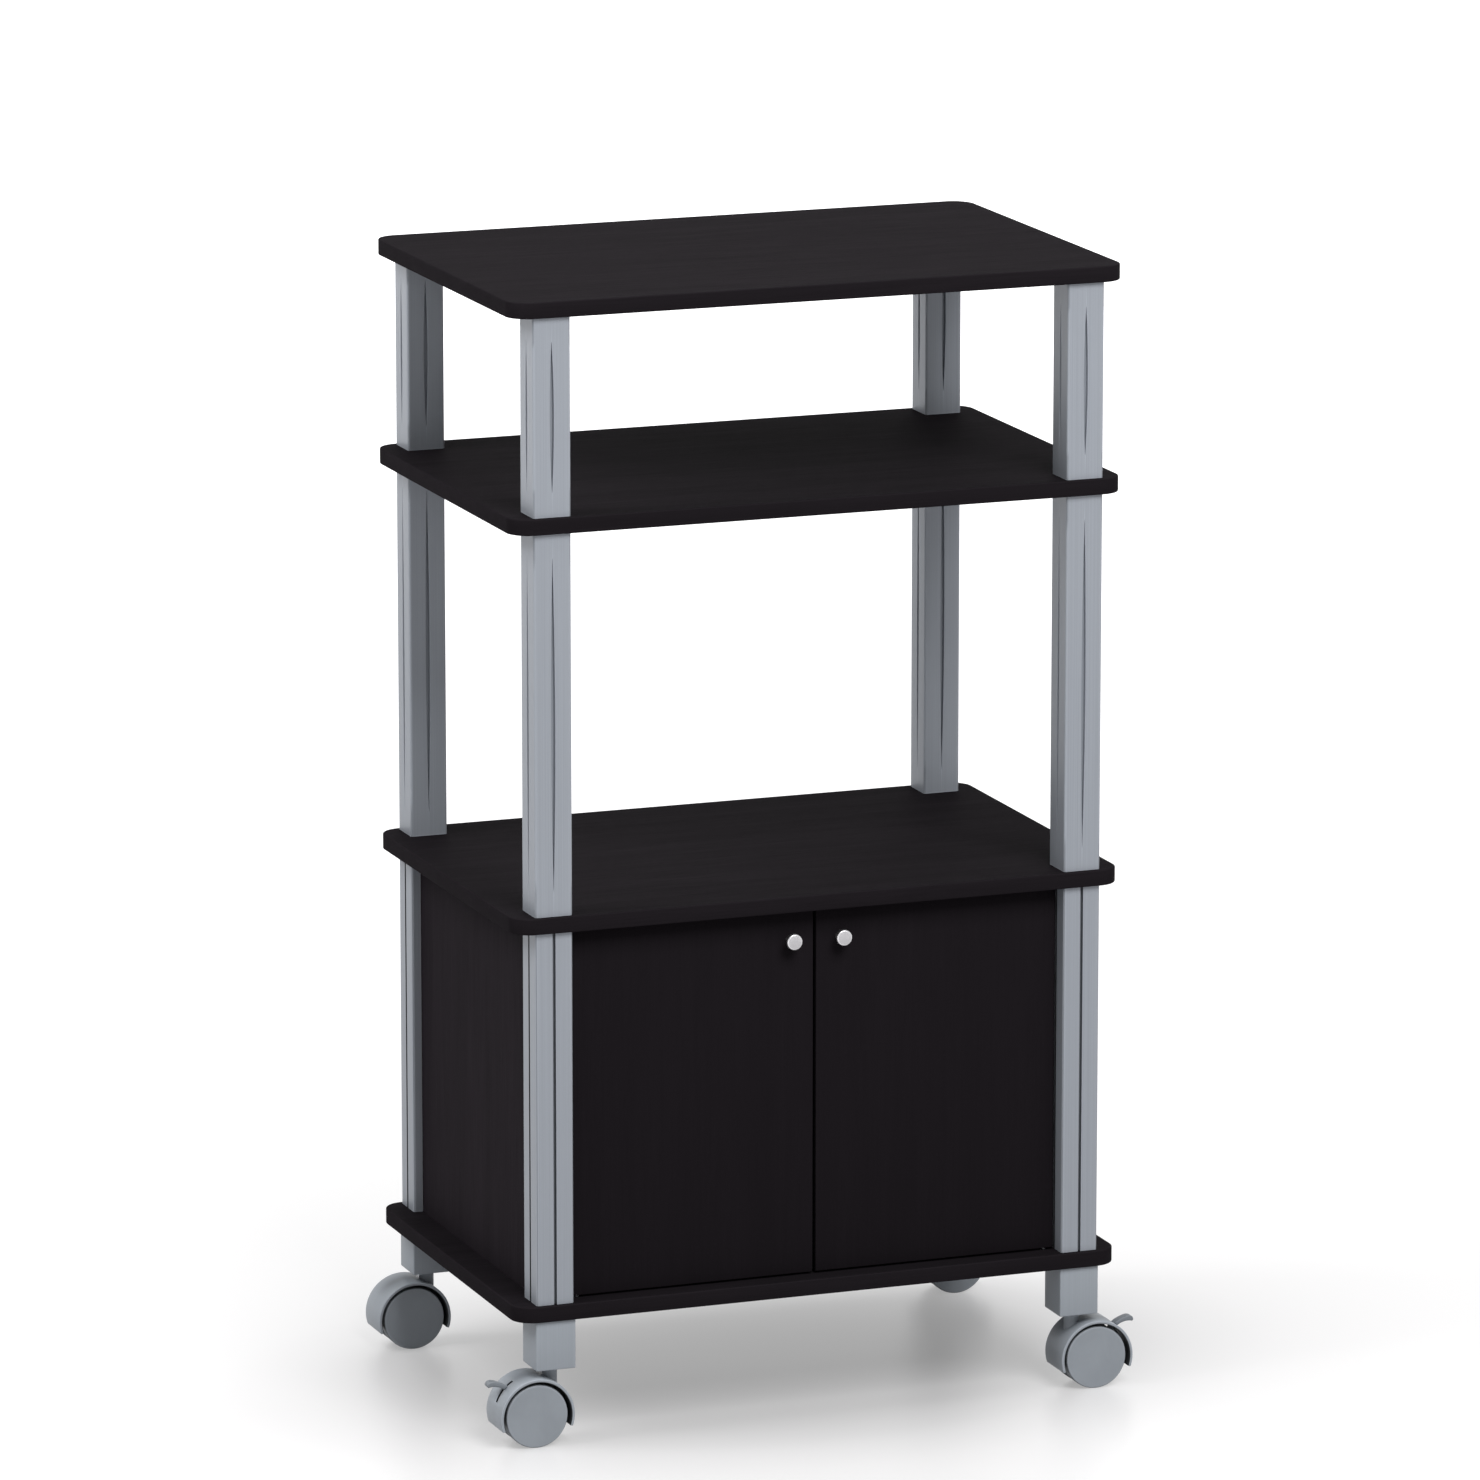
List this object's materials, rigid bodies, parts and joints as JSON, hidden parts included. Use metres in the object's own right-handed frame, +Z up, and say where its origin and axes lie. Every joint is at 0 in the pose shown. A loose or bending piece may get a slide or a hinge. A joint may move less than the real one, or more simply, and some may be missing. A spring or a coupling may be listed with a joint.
{
  "type": "microwave cart",
  "caption": "Tall kitchen cart: dark shelves with rounded corners on square grey posts, a two-door cabinet below and twin-wheel swivel casters.",
  "frame": {"origin": "on the floor under the centre of the cart, midway between the casters", "axes": "+X to the right seen from the doors, +Y towards the back, +Z up"},
  "size_m": [0.6438, 0.396, 1.069],
  "materials": {
    "black_board": "matt black laminate with a faint wood grain",
    "black_panel": "matt black laminate",
    "black_back": "matt black hardboard",
    "black_door": "matt black laminate",
    "grey_post": "satin silver-grey with fine upright lines",
    "grey_foot": "satin silver-grey",
    "grey_caster": "moulded grey plastic",
    "grey_wheel": "moulded grey nylon",
    "steel": "zinc plated",
    "knob_silver": "satin silver",
    "catch_plastic": "black plastic"
  },
  "bodies": {
    "frame": {"top_shelf": "black_board", "upper_shelf": "black_board", "microwave_shelf": "black_board", "base_shelf": "black_board", "upper_post_front_left": "grey_post", "middle_post_front_left": "grey_post", "cabinet_post_front_left": "grey_post", "foot_front_left": "grey_foot", "upper_post_front_right": "grey_post", "middle_post_front_right": "grey_post", "cabinet_post_front_right": "grey_post", "foot_front_right": "grey_foot", "upper_post_back_left": "grey_post", "middle_post_back_left": "grey_post", "cabinet_post_back_left": "grey_post", "foot_back_left": "grey_foot", "upper_post_back_right": "grey_post", "middle_post_back_right": "grey_post", "cabinet_post_back_right": "grey_post", "foot_back_right": "grey_foot", "side_panel_left": "black_panel", "side_panel_right": "black_panel", "back_panel": "black_back", "door_catch": "catch_plastic", "hinge_pin_left_bottom": "steel", "hinge_pin_left_top": "steel", "hinge_pin_right_bottom": "steel", "hinge_pin_right_top": "steel", "caster_stem_front_left": "steel", "caster_stem_front_right": "steel", "caster_stem_back_left": "steel", "caster_stem_back_right": "steel"},
    "caster_front_left": {"caster_hood_front_left": "grey_caster", "caster_axle_front_left": "steel"},
    "wheel_front_left_front_body": {"wheel_front_left_front": "grey_wheel"},
    "wheel_front_left_back_body": {"wheel_front_left_back": "grey_wheel"},
    "brake_front_left": {"brake_lever_front_left": "grey_caster"},
    "caster_front_right": {"caster_hood_front_right": "grey_caster", "caster_axle_front_right": "steel"},
    "wheel_front_right_front_body": {"wheel_front_right_front": "grey_wheel"},
    "wheel_front_right_back_body": {"wheel_front_right_back": "grey_wheel"},
    "brake_front_right": {"brake_lever_front_right": "grey_caster"},
    "caster_back_left": {"caster_hood_back_left": "grey_caster", "caster_axle_back_left": "steel"},
    "wheel_back_left_front_body": {"wheel_back_left_front": "grey_wheel"},
    "wheel_back_left_back_body": {"wheel_back_left_back": "grey_wheel"},
    "caster_back_right": {"caster_hood_back_right": "grey_caster", "caster_axle_back_right": "steel"},
    "wheel_back_right_front_body": {"wheel_back_right_front": "grey_wheel"},
    "wheel_back_right_back_body": {"wheel_back_right_back": "grey_wheel"},
    "door_left_body": {"door_left": "black_door", "strike_plate_left": "steel", "knob_left": "knob_silver"},
    "door_right_body": {"door_right": "black_door", "strike_plate_right": "steel", "knob_right": "knob_silver"}
  },
  "joints": [
    {"name": "swivel_front_left", "type": "hinge", "parent": "frame", "child": "caster_front_left", "pos_m": [-0.26, -0.1755, 0.06], "axis": [0, 0, 1], "continuous": true},
    {"name": "spin_front_left_front", "type": "hinge", "parent": "caster_front_left", "child": "wheel_front_left_front_body", "pos_m": [-0.2784, -0.1884, 0.03], "axis": [0, 1, 0], "continuous": true},
    {"name": "spin_front_left_back", "type": "hinge", "parent": "caster_front_left", "child": "wheel_front_left_back_body", "pos_m": [-0.2784, -0.1626, 0.03], "axis": [0, 1, 0], "continuous": true},
    {"name": "brake_front_left", "type": "hinge", "parent": "caster_front_left", "child": "brake_front_left", "pos_m": [-0.2784, -0.1755, 0.03], "axis": [0, -1, 0], "range_deg": [0, 20]},
    {"name": "swivel_front_right", "type": "hinge", "parent": "frame", "child": "caster_front_right", "pos_m": [0.26, -0.1755, 0.06], "axis": [0, 0, 1], "continuous": true},
    {"name": "spin_front_right_front", "type": "hinge", "parent": "caster_front_right", "child": "wheel_front_right_front_body", "pos_m": [0.2784, -0.1884, 0.03], "axis": [0, 1, 0], "continuous": true},
    {"name": "spin_front_right_back", "type": "hinge", "parent": "caster_front_right", "child": "wheel_front_right_back_body", "pos_m": [0.2784, -0.1626, 0.03], "axis": [0, 1, 0], "continuous": true},
    {"name": "brake_front_right", "type": "hinge", "parent": "caster_front_right", "child": "brake_front_right", "pos_m": [0.2784, -0.1755, 0.03], "axis": [0, 1, 0], "range_deg": [0, 20]},
    {"name": "swivel_back_left", "type": "hinge", "parent": "frame", "child": "caster_back_left", "pos_m": [-0.26, 0.1755, 0.06], "axis": [0, 0, 1], "continuous": true},
    {"name": "spin_back_left_front", "type": "hinge", "parent": "caster_back_left", "child": "wheel_back_left_front_body", "pos_m": [-0.2784, 0.1626, 0.03], "axis": [0, 1, 0], "continuous": true},
    {"name": "spin_back_left_back", "type": "hinge", "parent": "caster_back_left", "child": "wheel_back_left_back_body", "pos_m": [-0.2784, 0.1884, 0.03], "axis": [0, 1, 0], "continuous": true},
    {"name": "swivel_back_right", "type": "hinge", "parent": "frame", "child": "caster_back_right", "pos_m": [0.26, 0.1755, 0.06], "axis": [0, 0, 1], "continuous": true},
    {"name": "spin_back_right_front", "type": "hinge", "parent": "caster_back_right", "child": "wheel_back_right_front_body", "pos_m": [0.2784, 0.1626, 0.03], "axis": [0, 1, 0], "continuous": true},
    {"name": "spin_back_right_back", "type": "hinge", "parent": "caster_back_right", "child": "wheel_back_right_back_body", "pos_m": [0.2784, 0.1884, 0.03], "axis": [0, 1, 0], "continuous": true},
    {"name": "door_left_swing", "type": "hinge", "parent": "frame", "child": "door_left_body", "pos_m": [-0.2325, -0.1725, 0.3105], "axis": [0, 0, -1], "range_deg": [0, 95]},
    {"name": "door_right_swing", "type": "hinge", "parent": "frame", "child": "door_right_body", "pos_m": [0.2325, -0.1725, 0.3105], "axis": [0, 0, 1], "range_deg": [0, 95]}
  ]
}
